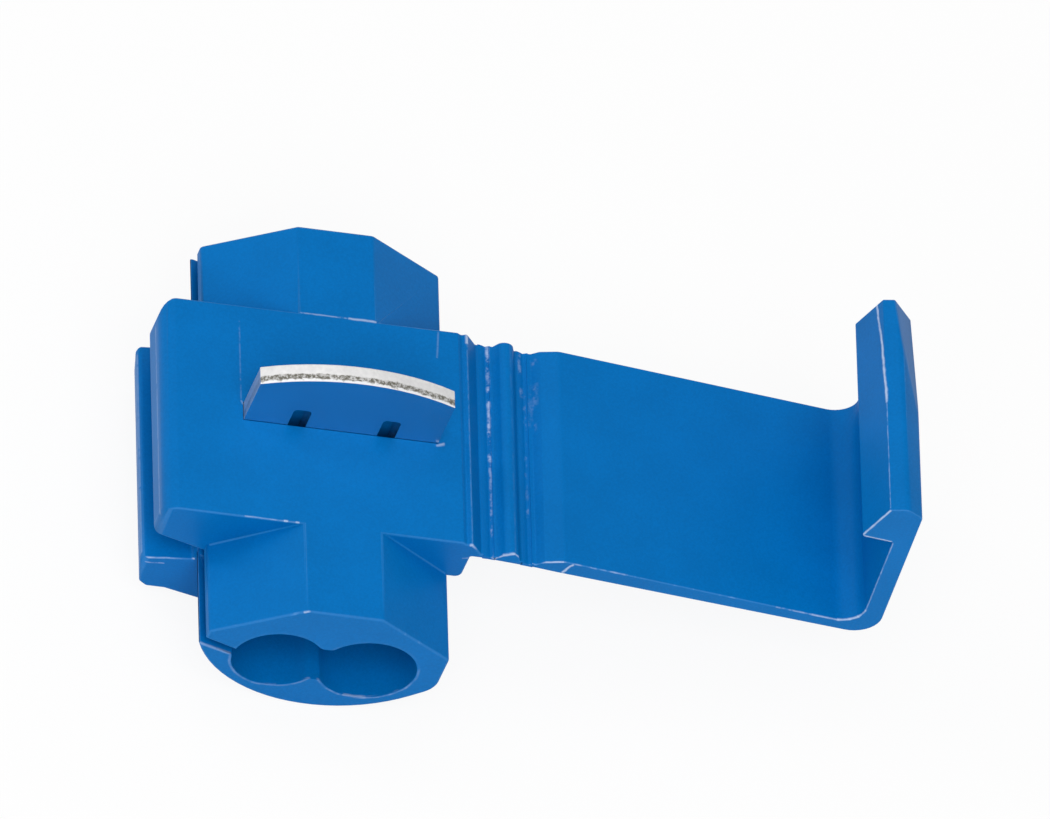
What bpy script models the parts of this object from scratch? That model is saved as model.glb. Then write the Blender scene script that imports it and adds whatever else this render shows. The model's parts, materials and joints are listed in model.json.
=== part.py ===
"""Blue tap splice connector for two wires, open as it is sold.

A polypropylene moulding carries two wire ports side by side, a cover on a double living hinge
and a hook that snaps under the housing's lower lip. A tinned contact blade stands proud of the
housing until it is pressed home over both wires.

X runs across the wires, Y along them and Z up. The origin is on the flat base, midway between
the two ports. Sizes below are millimetres and degrees; the scene is in metres.
"""

import math

import bmesh
import bpy
from mathutils import Matrix, Vector

MM = 0.001

# Ports: both centres lie at one height, half a pitch either side of the origin
port_pitch = 4.0
run_port_diameter = 4.05
tap_port_diameter = 4.35
port_height = 3.3
port_waist_height = 2.4
tap_end_wall = 1.2
port_mouth_chamfer = 0.14

# Central block: the base is at height 0
body_depth = 10.9
block_height = 7.3
block_side = 5.2
upper_lip_edge_radius = 0.7
base_corner_radius = 0.9
base_left = 3.2
upper_lip_radius_back = 0.9
lower_lip_radius_back = 0.35
lip_radius_front = 0.45

# The two lips that guide the run wire in from the left
upper_lip_reach = 7.95
lower_lip_reach = 8.0
mouth_top_rise = 1.88
mouth_bottom_drop = 0.15
mouth_throat_reach = 5.5
mouth_floor_run = 0.3
mouth_floor_radius = 0.15
mouth_throat_radius = 0.2
slit_start_rise = 0.15
slit_rise = 0.62
slit_gap = 0.4
lip_corner_radius = 0.25

# The ledge under the lower lip that the hook catches
ledge_height = 0.95
ledge_end = 6.4
ledge_fillet = 0.3
latch_foot_rise = 0.3
latch_foot_run = 0.35
latch_foot_radius = 0.2
latch_draft = 11.5

# Stubs that carry the ports forwards and back of the block
stub_length = 4.5
stub_left = 5.45
stub_right = 5.3
stub_shoulder_rise = 1.5
stub_shoulder_radius = 0.22
ridge_left = 1.7
ridge_right = 1.7
ridge_radius = 0.3
belly_radius = 6.35
belly_centre = 0.15
belly_corner_run = 0.9
belly_corner_radius = 1.2
stub_edge_radius = 0.12

# Bead on the right wall below the hinge, and the ridge and nick along the top right edge
bead_reach = 5.95
bead_bottom = 4.6
bead_radius = 0.32
hinge_ridge_reach = 5.8
hinge_nick_depth = 0.14
hinge_nick_width = 0.4
hinge_root_radius = 0.1

# Double living hinge: two thin webs with a ridged link between them
web_thickness = 0.25
web_gap = 0.2
web_land = 0.18
hinge_reach = 6.75
hinge_drop = 0.87
link_droop = 5.9
link_lean_shut = 8.0
link_ridge_radius = 0.42
link_ridge_height = 0.62
link_ridge_flank = 35.0

# Cover plate, and the hook wall with its barb
cover_thickness = 0.9
cover_end_thickness = 0.6
cover_droop = 8.5
cover_step_run = 0.3
cover_step_rise = 0.32
cover_step_radius = 0.2
cover_ramp = 1.45
cover_ramp_radius = 0.6
hook_wall = 0.97
hook_foot_flare = 0.04
hook_height = 9.2
hook_inner_radius = 1.0
hook_outer_radius = 1.2
hook_shoulder_drop = 0.38
hook_shoulder_radius = 0.3
barb_depth = 1.5
barb_tip_radius = 0.16
barb_root_radius = 0.1
crown_ridge_run = 0.36
crown_ridge_drop = 0.28
crown_ridge_radius = 0.1
crown_peak_run = 0.15
crown_radius = 0.5
crown_cut_angle = 44.0
crown_cut_depth = 0.55
crown_cut_length = 5.95

# Clearances with the cover shut
cover_seat_gap = 0.1
lip_gap = 0.06
latch_gap = 0.13

# Contact blade, with one wire slot over each port
blade_width = 8.7
blade_thickness = 0.9
blade_proud = 2.9
blade_arch = 0.95
blade_corner_radius = 0.1
blade_clearance = 0.07
blade_tip_clearance = 0.08
blade_floor_clearance = 0.25
wire_slot_width = 0.8
wire_slot_top = 1.25
wire_slot_radius = 0.2
wire_slot_flare = 0.4
wire_slot_flare_height = 0.6
leg_chamfer = 0.35

# Colours as linear RGB, and how polished each surface is
PLASTIC_BLUE = (0.007, 0.162, 0.479)
TINNED_GREY = (0.62, 0.6, 0.56)
MOULDED_ROUGHNESS = 0.38
BENT_ROUGHNESS = 0.42
TINNED_ROUGHNESS = 0.32

# How finely round forms are drawn, and how far a cutter runs past what it cuts
FACET_SAG = 0.006
WIDEST_FACET = 15
PORT_FACETS = 60
EDGE_FACETS = 3
END_EDGE_ANGLE = 70
SMOOTH_ANGLE = 30
FLAT_ANGLE = 0.5
WELD_DISTANCE = 0.001
CUTTER_OVERRUN = 1.0
STUB_OVERLAP = 0.3
SLIT_OVERRUN = 0.5

# Places that follow from the sizes
half_pitch = port_pitch / 2
half_depth = body_depth / 2
body_length = body_depth + 2 * stub_length
half_web = web_thickness / 2
shoulder_height = port_height + stub_shoulder_rise
run_port_edge = half_pitch + run_port_diameter / 2
slit_end = run_port_edge - SLIT_OVERRUN
cover_inner_face = cover_thickness - half_web
inner_web = Vector((hinge_reach, block_height - hinge_drop))
shut_rise = block_height + cover_seat_gap + cover_inner_face - inner_web.y
link_length = shut_rise / math.cos(math.radians(link_lean_shut))
outer_web_shut_x = hinge_reach - link_length * math.sin(math.radians(link_lean_shut))
outer_web = inner_web + link_length * Vector(
    (math.cos(math.radians(link_droop)), -math.sin(math.radians(link_droop)))
)
blade_travel = blade_proud + blade_arch
blade_tip = port_height + tap_port_diameter / 2 + blade_tip_clearance
blade_top = block_height + blade_proud
draft_slope = math.tan(math.radians(latch_draft))


def clear_scene():
    for thing in list(bpy.data.objects):
        bpy.data.objects.remove(thing, do_unlink=True)


def new_collection(name, hidden=False):
    made = bpy.data.collections.new(name)
    bpy.context.scene.collection.children.link(made)
    made.hide_render = hidden
    return made


def surface(name, colour, roughness, metallic=0.0):
    made = bpy.data.materials.new(name)
    made.use_nodes = True
    shader = made.node_tree.nodes["Principled BSDF"]
    shader.inputs["Base Color"].default_value = (*colour, 1)
    shader.inputs["Roughness"].default_value = roughness
    shader.inputs["Metallic"].default_value = metallic
    return made


def arc(centre_x, centre_z, radius, start, end):
    """Points along an arc, both ends included. Angles are in degrees from +X towards +Z."""
    facet = min(WIDEST_FACET, 2 * math.degrees(math.acos(max(0, 1 - FACET_SAG / radius))))
    steps = max(2, math.ceil(abs(end - start) / facet))
    angles = [math.radians(start + (end - start) * i / steps) for i in range(steps + 1)]
    return [(centre_x + radius * math.cos(a), centre_z + radius * math.sin(a)) for a in angles]


def rounded(corners):
    """An outline from (x, z, radius) corners, with each radius turned into an arc."""
    outline = []
    for index, (x, z, radius) in enumerate(corners):
        corner = Vector((x, z))
        before = Vector(corners[index - 1][:2]) - corner
        after = Vector(corners[(index + 1) % len(corners)][:2]) - corner
        if radius == 0:
            outline.append((x, z))
            continue
        half_angle = before.angle(after) / 2
        most = 0.45 * min(before.length, after.length)
        setback = min(radius / math.tan(half_angle), most)
        true_radius = setback * math.tan(half_angle)
        middle = corner + (before.normalized() + after.normalized()).normalized() * (
            true_radius / math.sin(half_angle)
        )
        first = corner + before.normalized() * setback - middle
        last = corner + after.normalized() * setback - middle
        start = math.degrees(math.atan2(first.y, first.x))
        turn = math.degrees(math.atan2(first.cross(last), first.dot(last)))
        outline += arc(middle.x, middle.y, true_radius, start, start + turn)
    return outline


def mesh_of(curve_object):
    """A curve's shape as a welded mesh, in place of the curve."""
    graph = bpy.context.evaluated_depsgraph_get()
    mesh = bpy.data.meshes.new_from_object(curve_object.evaluated_get(graph))
    work = bmesh.new()
    work.from_mesh(mesh)
    bmesh.ops.remove_doubles(work, verts=work.verts, dist=WELD_DISTANCE * MM)
    flat = math.radians(FLAT_ANGLE)
    bmesh.ops.dissolve_limit(work, angle_limit=flat, verts=work.verts, edges=work.edges)
    bmesh.ops.recalc_face_normals(work, faces=work.faces)
    work.to_mesh(mesh)
    work.free()
    return mesh


def prism(name, outline, back, front, collection, across="Y"):
    """A flat (x, z) outline run along Y from front to back, or an (x, y) one run up Z."""
    curve = bpy.data.curves.new(name, "CURVE")
    curve.dimensions = "2D"
    curve.fill_mode = "BOTH"
    curve.extrude = abs(back - front) / 2 * MM
    spline = curve.splines.new("POLY")
    spline.points.add(len(outline) - 1)
    for point, (x, z) in zip(spline.points, outline):
        point.co = (x * MM, z * MM, 0, 1)
    spline.use_cyclic_u = True
    guide = bpy.data.objects.new(name + "_outline", curve)
    bpy.context.scene.collection.objects.link(guide)
    bpy.context.view_layer.update()
    mesh = mesh_of(guide)
    bpy.data.objects.remove(guide, do_unlink=True)
    middle = (back + front) / 2 * MM
    if across == "Y":
        mesh.transform(Matrix.Translation((0, middle, 0)) @ Matrix.Rotation(math.pi / 2, 4, "X"))
    else:
        mesh.transform(Matrix.Translation((0, 0, middle)))
    mesh.name = name
    made = bpy.data.objects.new(name, mesh)
    collection.objects.link(made)
    return made


def as_cutter(thing):
    thing.hide_render = True
    thing.display_type = "WIRE"
    return thing


def port_cutter(name, x, diameter, front, back, collection):
    """A cylinder along Y."""
    work = bmesh.new()
    length = (back - front) * MM
    radius = diameter / 2 * MM
    bmesh.ops.create_cone(
        work,
        cap_ends=True,
        segments=PORT_FACETS,
        radius1=radius,
        radius2=radius,
        depth=length,
        matrix=Matrix.Translation((x * MM, (front + back) / 2 * MM, port_height * MM))
        @ Matrix.Rotation(math.pi / 2, 4, "X"),
    )
    return object_from(work, name, collection)


def mouth_cutter(name, x, diameter, face, outwards, collection):
    """A shallow cone that breaks the rim of a port; outwards is -1 at the front, 1 at the back."""
    work = bmesh.new()
    reach = 2 * port_mouth_chamfer
    bmesh.ops.create_cone(
        work,
        cap_ends=True,
        segments=PORT_FACETS,
        radius1=(diameter / 2 + outwards * port_mouth_chamfer) * MM,
        radius2=(diameter / 2 - outwards * port_mouth_chamfer) * MM,
        depth=reach * MM,
        matrix=Matrix.Translation((x * MM, face * MM, port_height * MM))
        @ Matrix.Rotation(math.pi / 2, 4, "X"),
    )
    return object_from(work, name, collection)


def object_from(work, name, collection):
    mesh = bpy.data.meshes.new(name)
    work.to_mesh(mesh)
    work.free()
    made = bpy.data.objects.new(name, mesh)
    collection.objects.link(made)
    return made


def box_cutter(name, lowest, highest, collection):
    work = bmesh.new()
    bmesh.ops.create_cube(work, size=1)
    sides = [high - low for low, high in zip(lowest, highest)]
    middle = [(low + high) / 2 * MM for low, high in zip(lowest, highest)]
    bmesh.ops.scale(work, vec=[side * MM for side in sides], verts=work.verts)
    bmesh.ops.translate(work, vec=middle, verts=work.verts)
    return object_from(work, name, collection)


def boolean(target, other, operation):
    step = target.modifiers.new(other.name, "BOOLEAN")
    step.operation = operation
    step.object = as_cutter(other)
    step.solver = "EXACT"


def round_ends(target, width):
    """Softens the edges where the prism's sides meet its two ends."""
    step = target.modifiers.new("ends", "BEVEL")
    step.width = width * MM
    step.segments = EDGE_FACETS
    step.limit_method = "ANGLE"
    step.angle_limit = math.radians(END_EDGE_ANGLE)


def belly_point(height):
    """The left-hand x of the belly arc at a height above the base."""
    return belly_centre - math.sqrt(belly_radius**2 - (height - belly_radius) ** 2)


def slit_height(reach):
    """Middle of the slit at a distance left of the run port's edge; it climbs outwards."""
    share = (reach - run_port_edge) / (mouth_throat_reach - run_port_edge)
    return port_height + slit_start_rise + slit_rise * share


def block_outline():
    """Section of the central block, with the wire mouth between its lips and the inner web."""
    latch_foot = ledge_height + latch_foot_rise
    latch_reach = lower_lip_reach - (port_height - latch_foot) * draft_slope
    throat = slit_height(mouth_throat_reach)
    nick = hinge_ridge_reach - hinge_nick_width
    tongue_end = hinge_reach - web_gap
    web_top = inner_web.y + half_web
    web_bottom = inner_web.y - half_web
    root = hinge_root_radius
    return rounded(
        [
            (-base_left, 0, 0),
            (block_side, 0, base_corner_radius),
            (block_side, bead_bottom, root),
            (bead_reach, bead_bottom, bead_radius),
            (bead_reach, web_bottom, root),
            (tongue_end, web_bottom, 0),
            (tongue_end, web_top, 0),
            (tongue_end - web_land, web_top, root),
            (hinge_ridge_reach, block_height, root),
            (hinge_ridge_reach - hinge_nick_width / 2, block_height - hinge_nick_depth, root),
            (nick, block_height, root),
            (-upper_lip_reach, block_height, upper_lip_edge_radius),
            (-upper_lip_reach, port_height + mouth_top_rise, lip_corner_radius),
            (-mouth_throat_reach, throat + slit_gap / 2, 0),
            (-slit_end, slit_height(slit_end) + slit_gap / 2, 0),
            (-slit_end, slit_height(slit_end) - slit_gap / 2, 0),
            (-mouth_throat_reach, throat - slit_gap / 2, mouth_throat_radius),
            (
                -mouth_throat_reach - mouth_floor_run,
                port_height + mouth_bottom_drop,
                mouth_floor_radius,
            ),
            (-lower_lip_reach, port_height - mouth_bottom_drop, lip_corner_radius),
            (-latch_reach, latch_foot, latch_foot_radius),
            (-latch_reach + latch_foot_run, ledge_height, latch_foot_radius),
            (-ledge_end, ledge_height, ledge_fillet),
        ]
    )


def stub_outline():
    """Section of a stub: flat ridge, two sloping shoulders, round belly and the slit."""
    jaw_top = slit_height(stub_left) - slit_gap / 2
    left_start = math.degrees(
        math.atan2(jaw_top - belly_radius, belly_point(jaw_top) - belly_centre)
    )
    belly_end = stub_right - belly_corner_run
    right_end = -math.degrees(math.acos((belly_end - belly_centre) / belly_radius))
    belly = arc(belly_centre, belly_radius, belly_radius, left_start, right_end)
    corner_height = belly[-1][1] + belly_corner_run * math.tan(math.radians(90 + right_end))
    return rounded(
        [
            (stub_right, shoulder_height, stub_shoulder_radius),
            (ridge_right, block_height, ridge_radius),
            (-ridge_left, block_height, ridge_radius),
            (-stub_left, shoulder_height, stub_shoulder_radius),
            (-stub_left, slit_height(stub_left) + slit_gap / 2, 0),
            (-slit_end, slit_height(slit_end) + slit_gap / 2, 0),
            (-slit_end, slit_height(slit_end) - slit_gap / 2, 0),
            *((x, z, 0) for x, z in belly),
            (stub_right, corner_height, belly_corner_radius),
        ]
    )


def link_outline():
    """Section of the hinge link: a thin strap with one rounded ridge, from the inner web."""
    middle = link_length / 2
    foot = web_gap + web_land
    crown = link_ridge_height - link_ridge_radius
    ridge = arc(middle, crown, link_ridge_radius, link_ridge_flank, 180 - link_ridge_flank)
    return [
        (web_gap, -half_web),
        (link_length - web_gap, -half_web),
        (link_length - web_gap, half_web),
        (link_length - foot, half_web),
        *ridge,
        (foot, half_web),
        (web_gap, half_web),
    ]


def hook_face(height):
    """Inner face of the hook wall at a height above the plate, as x from the outer web.

    With the cover shut this face runs down the lower lip with the lip gap between them.
    """
    lip_top = block_height + cover_seat_gap - port_height + mouth_bottom_drop
    at_lip = outer_web_shut_x + lower_lip_reach + lip_gap
    return at_lip - (height - lip_top) * draft_slope


def cover_outline():
    """Section of the plate and hook, measured from the outer web along the plate."""
    face = cover_inner_face
    catch = block_height + cover_seat_gap - ledge_height + latch_gap
    root = hook_face(0)
    tip = hook_face(catch) - barb_depth
    crown = hook_face(hook_height)
    foot = web_gap + web_land
    underside = face - cover_end_thickness
    top = face + hook_height
    return rounded(
        [
            (web_gap, half_web, 0),
            (foot, half_web, hinge_root_radius),
            (foot + cover_step_run, half_web + cover_step_rise, cover_step_radius),
            (cover_ramp, face, cover_ramp_radius),
            (root, face, hook_inner_radius),
            (hook_face(catch), face + catch, barb_root_radius),
            (tip, face + catch, barb_tip_radius),
            (tip + crown_ridge_run, top - crown_ridge_drop, crown_ridge_radius),
            (crown + crown_peak_run, top, crown_radius),
            (crown + hook_wall, top - hook_shoulder_drop, hook_shoulder_radius),
            (root + hook_wall + hook_foot_flare, underside, hook_outer_radius),
            (cover_ramp, -half_web, 0),
            (web_gap, -half_web, 0),
        ]
    )


def blade_outline():
    """Face of the contact blade: arched top edge and two wire slots open at the legs."""
    half = blade_width / 2
    corner = blade_corner_radius
    rise_radius = (half**2 + blade_arch**2) / (2 * blade_arch)
    spread = math.degrees(math.asin(half / rise_radius))
    crown = blade_top + blade_arch - rise_radius
    top = arc(0, crown, rise_radius, 90 - spread, 90 + spread)
    slot_top = block_height + wire_slot_top
    legs = []
    for centre in (-half_pitch, half_pitch):
        left = centre - wire_slot_width / 2
        right = centre + wire_slot_width / 2
        legs += [
            (left - wire_slot_flare, blade_tip, corner),
            (left, blade_tip + wire_slot_flare_height, 0),
            (left, slot_top, wire_slot_radius),
            (right, slot_top, wire_slot_radius),
            (right, blade_tip + wire_slot_flare_height, 0),
            (right + wire_slot_flare, blade_tip, corner),
        ]
    feet = [(-half, blade_tip + leg_chamfer, 0), (-half + leg_chamfer, blade_tip, 0)]
    feet += legs
    feet += [(half - leg_chamfer, blade_tip, 0), (half, blade_tip + leg_chamfer, 0)]
    return rounded(feet) + top


def lip_plan(name, reach, back_radius, bottom, top, cutters):
    """The block's plan with its left corners rounded, over one lip's heights."""
    right = hinge_reach + CUTTER_OVERRUN
    plan = rounded(
        [
            (-reach, -half_depth, lip_radius_front),
            (right, -half_depth, 0),
            (right, half_depth, 0),
            (-reach, half_depth, back_radius),
        ]
    )
    return prism(name, plan, top, bottom, cutters, across="Z")


def make_housing(parts, cutters):
    """Block and stubs joined, then bored, slotted for the blade and rounded in plan."""
    housing = prism("housing", block_outline(), half_depth, -half_depth, parts)
    round_ends(housing, stub_edge_radius)
    top = block_height + CUTTER_OVERRUN
    mouth = port_height + (mouth_top_rise - mouth_bottom_drop) / 2
    upper = lip_plan("upper_corners", upper_lip_reach, upper_lip_radius_back, mouth, top, cutters)
    below = (-CUTTER_OVERRUN, mouth + STUB_OVERLAP)
    lower = lip_plan("lower_corners", lower_lip_reach, lower_lip_radius_back, *below, cutters)
    boolean(upper, lower, "UNION")
    boolean(housing, upper, "INTERSECT")

    inner = half_depth - STUB_OVERLAP
    outer = half_depth + stub_length
    for name, near, far in (("front_stub", -outer, -inner), ("back_stub", inner, outer)):
        stub = prism(name, stub_outline(), far, near, cutters)
        round_ends(stub, stub_edge_radius)
        boolean(housing, stub, "UNION")

    through = body_length / 2 + CUTTER_OVERRUN
    tap_end = body_length / 2 - tap_end_wall
    tap_radius = tap_port_diameter / 2
    run_radius = run_port_diameter / 2
    half_waist = port_waist_height / 2
    run = port_cutter("run_bore", -half_pitch, run_port_diameter, -through, through, cutters)
    tap = port_cutter("tap_bore", half_pitch, tap_port_diameter, -through, tap_end, cutters)
    waist = box_cutter(
        "port_waist",
        (-half_pitch + run_radius / 2, -through, port_height - half_waist),
        (half_pitch - tap_radius / 2, tap_end, port_height + half_waist),
        cutters,
    )
    pocket = box_cutter(
        "blade_pocket",
        (
            -blade_width / 2 - blade_clearance,
            -blade_thickness / 2 - blade_clearance,
            blade_tip - blade_travel - blade_floor_clearance,
        ),
        (
            blade_width / 2 + blade_clearance,
            blade_thickness / 2 + blade_clearance,
            block_height + CUTTER_OVERRUN,
        ),
        cutters,
    )
    for cutter in (run, tap, waist, pocket):
        boolean(housing, cutter, "DIFFERENCE")
    face = body_length / 2
    mouths = (
        ("run_mouth_front", -half_pitch, run_port_diameter, -1),
        ("tap_mouth_front", half_pitch, tap_port_diameter, -1),
        ("run_mouth_back", -half_pitch, run_port_diameter, 1),
    )
    for name, x, diameter, outwards in mouths:
        cone = mouth_cutter(name, x, diameter, outwards * face, outwards, cutters)
        boolean(housing, cone, "DIFFERENCE")
    return housing


def hinge_empty(name, place, parts, parent=None):
    """A parent that stands on a web's axis."""
    made = bpy.data.objects.new(name, None)
    made.empty_display_size = MM
    parts.objects.link(made)
    made.location = (place.x * MM, 0, place.y * MM)
    if parent:
        made.parent = parent
        made.matrix_parent_inverse = parent.matrix_world.inverted()
    return made


def hang(piece, empty, droop):
    """Puts a piece drawn from its web's axis on that axis, turned down by its droop."""
    piece.parent = empty
    piece.rotation_euler = (0, math.radians(droop), 0)


def slant_crown(cover):
    """Cuts the crown's outer corner off at a slant that deepens towards the back end."""
    start = Vector(
        (
            hook_face(hook_height) + hook_wall,
            half_depth - crown_cut_length,
            cover_inner_face + hook_height - hook_shoulder_drop,
        )
    )
    slope = math.radians(crown_cut_angle)
    outwards = (math.sin(slope), crown_cut_depth / crown_cut_length, math.cos(slope))
    work = bmesh.new()
    work.from_mesh(cover.data)
    cut = bmesh.ops.bisect_plane(
        work,
        geom=work.verts[:] + work.edges[:] + work.faces[:],
        plane_co=start * MM,
        plane_no=outwards,
        clear_outer=True,
    )
    rim = [part for part in cut["geom_cut"] if isinstance(part, bmesh.types.BMEdge)]
    bmesh.ops.holes_fill(work, edges=rim, sides=0)
    bmesh.ops.recalc_face_normals(work, faces=work.faces)
    work.to_mesh(cover.data)
    work.free()


def make_cover(parts):
    """Link and cover, each drawn from the web it turns on."""
    inner_axis = hinge_empty("inner_web_axis", inner_web, parts)
    outer_axis = hinge_empty("outer_web_axis", outer_web, parts)
    link = prism("hinge_link", link_outline(), half_depth, -half_depth, parts)
    cover = prism("latch_cover", cover_outline(), half_depth, -half_depth, parts)
    slant_crown(cover)
    hang(link, inner_axis, link_droop)
    hang(cover, outer_axis, cover_droop)
    return link, cover


def make_blade(parts):
    half = blade_thickness / 2
    return prism("contact_blade", blade_outline(), half, -half, parts)


def finish(piece, material):
    piece.data.materials.clear()
    piece.data.materials.append(material)
    piece.data.shade_smooth()
    piece.data.set_sharp_from_angle(angle=math.radians(SMOOTH_ANGLE))


def main():
    clear_scene()
    bpy.context.scene.unit_settings.system = "METRIC"
    parts = new_collection("wire_connector")
    cutters = new_collection("cutters", hidden=True)
    housing = make_housing(parts, cutters)
    link, cover = make_cover(parts)
    blade = make_blade(parts)
    finish(housing, surface("housing_blue", PLASTIC_BLUE, MOULDED_ROUGHNESS))
    finish(link, surface("link_blue", PLASTIC_BLUE, BENT_ROUGHNESS))
    finish(cover, surface("cover_blue", PLASTIC_BLUE, MOULDED_ROUGHNESS))
    finish(blade, surface("tinned_contact", TINNED_GREY, TINNED_ROUGHNESS, metallic=1.0))


main()
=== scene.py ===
# %% [markdown]
# # A moulded tap splice, dressed for the camera
#
# This lesson dresses a small wire connector: a blue housing with two wire ports, a cover on a
# double living hinge with a hook at its end, and a tinned contact blade that stands proud.
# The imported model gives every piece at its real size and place. Here each piece gets its fine
# shape, its finish and the light that shows them.

# %% Load the model that everything is fitted to
import json
import math

import bmesh
import bpy
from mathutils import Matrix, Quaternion, Vector, noise


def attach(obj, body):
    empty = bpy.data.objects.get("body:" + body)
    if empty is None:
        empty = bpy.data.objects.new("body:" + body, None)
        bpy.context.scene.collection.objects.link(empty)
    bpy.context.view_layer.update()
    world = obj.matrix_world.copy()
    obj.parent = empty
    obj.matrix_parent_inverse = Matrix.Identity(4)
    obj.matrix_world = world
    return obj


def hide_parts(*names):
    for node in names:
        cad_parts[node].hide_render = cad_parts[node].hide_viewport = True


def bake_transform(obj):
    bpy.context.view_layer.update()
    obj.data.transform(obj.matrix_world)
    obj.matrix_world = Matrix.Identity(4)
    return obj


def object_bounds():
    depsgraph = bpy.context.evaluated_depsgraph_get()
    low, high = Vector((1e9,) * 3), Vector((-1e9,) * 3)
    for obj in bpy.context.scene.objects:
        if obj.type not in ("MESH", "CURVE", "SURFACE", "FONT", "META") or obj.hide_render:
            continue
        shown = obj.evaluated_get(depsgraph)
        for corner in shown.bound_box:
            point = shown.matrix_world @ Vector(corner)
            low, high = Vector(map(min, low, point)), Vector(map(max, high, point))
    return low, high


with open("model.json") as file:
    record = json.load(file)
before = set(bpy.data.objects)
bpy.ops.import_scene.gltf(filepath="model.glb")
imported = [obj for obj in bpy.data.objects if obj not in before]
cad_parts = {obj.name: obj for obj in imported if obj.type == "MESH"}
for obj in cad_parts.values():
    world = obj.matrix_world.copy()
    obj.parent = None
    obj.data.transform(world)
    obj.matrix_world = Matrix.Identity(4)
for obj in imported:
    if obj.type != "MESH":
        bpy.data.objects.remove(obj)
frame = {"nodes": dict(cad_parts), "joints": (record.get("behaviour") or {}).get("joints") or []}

MM = 0.001
cad_low, cad_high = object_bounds()
joints = {joint["name"]: joint for joint in frame["joints"]}
inner_axis = Vector(joints["hinge_inner"]["pos_m"])
outer_axis = Vector(joints["hinge_outer"]["pos_m"])
print("model box in mm:", [round(side / MM, 2) for side in cad_high - cad_low])

# %% [markdown]
# ## Shader helpers
#
# Node trees are easier to read when each effect is a group with named sockets. These helpers
# make a group, add a node with its settings, and join sockets. Every group below takes a place
# and gives back a mask, a tone or a height. The Principled shader stays in the material.
# The places are in metres, so the scale of a noise is in repeats per metre.

# %% Small helpers for node trees
def new_group(name, inputs, outputs):
    """A node group; inputs are (name, kind, default) and outputs are (name, kind)."""
    tree = bpy.data.node_groups.new(name, "ShaderNodeTree")
    for label, kind, default in inputs:
        socket = tree.interface.new_socket(label, in_out="INPUT", socket_type="NodeSocket" + kind)
        if default is not None:
            socket.default_value = default
    for label, kind in outputs:
        tree.interface.new_socket(label, in_out="OUTPUT", socket_type="NodeSocket" + kind)
    return tree, tree.nodes.new("NodeGroupInput").outputs, tree.nodes.new("NodeGroupOutput").inputs


def put(socket, value):
    """Joins another socket to this one, or sets a plain value."""
    if isinstance(value, bpy.types.NodeSocket):
        socket.id_data.links.new(value, socket)
    elif value is not None:
        socket.default_value = value


def math_node(tree, operation, a, b=None, c=None, clamp=False):
    node = tree.nodes.new("ShaderNodeMath")
    node.operation = operation
    node.use_clamp = clamp
    for socket, value in zip(node.inputs, (a, b, c)):
        put(socket, value)
    return node.outputs[0]


def vector_node(tree, operation, a, b=None, result="Vector", scale=None):
    node = tree.nodes.new("ShaderNodeVectorMath")
    node.operation = operation
    put(node.inputs[0], a)
    put(node.inputs[1], b)
    if operation == "SCALE":
        put(node.inputs["Scale"], scale)
    return node.outputs[result]


def noise_node(tree, place, scale, detail=2.0, roughness=0.5):
    node = tree.nodes.new("ShaderNodeTexNoise")
    put(node.inputs["Vector"], place)
    put(node.inputs["Scale"], scale)
    put(node.inputs["Detail"], detail)
    put(node.inputs["Roughness"], roughness)
    return node.outputs


def shaken(tree, place, scale, wander):
    """A place moved about by a noise, so that a line found from it wanders."""
    shake = noise_node(tree, place, scale)["Color"]
    shake = vector_node(tree, "SUBTRACT", shake, (0.5, 0.5, 0.5))
    shake = vector_node(tree, "SCALE", shake, scale=wander)
    return vector_node(tree, "ADD", place, shake)


def remap(tree, value, low, high, to_low=0.0, to_high=1.0):
    node = tree.nodes.new("ShaderNodeMapRange")
    node.interpolation_type = "SMOOTHSTEP"
    for label, given in (
        ("Value", value),
        ("From Min", low),
        ("From Max", high),
        ("To Min", to_low),
        ("To Max", to_high),
    ):
        put(node.inputs[label], given)
    return node.outputs["Result"]


def blend_colours(tree, share, first, second, mode="MIX"):
    node = tree.nodes.new("ShaderNodeMix")
    node.data_type = "RGBA"
    node.blend_type = mode
    put(node.inputs[0], share)
    put(node.inputs[6], first)
    put(node.inputs[7], second)
    return node.outputs[2]


def use_group(tree, group, **values):
    node = tree.nodes.new("ShaderNodeGroup")
    node.node_tree = group
    for label, value in values.items():
        put(node.inputs[label], value)
    return node.outputs


print("helpers ready")

# %% [markdown]
# ## Camera
#
# The photo was taken from the front and left, looking steeply down, with the camera tilted
# clockwise. Its parallel edges stay parallel, so it was a long lens from far away. We could use
# an orthographic camera, but a very long lens gives the same picture and still works as a real
# camera does. Three angles and the width of the view are enough to place it.

# %% Place the camera by its angles
CAMERA_AZIMUTH = -23.0
CAMERA_ELEVATION = 54.0
CAMERA_ROLL = 26.0
CAMERA_DISTANCE = 1.5
VIEW_WIDTH = 45.62 * MM
AIM = Vector((8.39, 2.03, 7.05)) * MM


def make_camera():
    azimuth, elevation = math.radians(CAMERA_AZIMUTH), math.radians(CAMERA_ELEVATION)
    towards = Vector(
        (
            math.sin(azimuth) * math.cos(elevation),
            -math.cos(azimuth) * math.cos(elevation),
            math.sin(elevation),
        )
    )
    data = bpy.data.cameras.new("camera")
    data.lens = data.sensor_width * CAMERA_DISTANCE / VIEW_WIDTH
    data.clip_start = 0.1
    data.clip_end = 10
    camera = bpy.data.objects.new("camera", data)
    bpy.context.scene.collection.objects.link(camera)
    camera.location = AIM + towards * CAMERA_DISTANCE
    camera.rotation_mode = "QUATERNION"
    level = (-towards).to_track_quat("-Z", "Y")
    camera.rotation_quaternion = level @ Quaternion((0, 0, 1), math.radians(CAMERA_ROLL))
    bpy.context.scene.camera = camera
    return camera


camera = make_camera()
print("lens in mm:", round(camera.data.lens))

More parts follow.
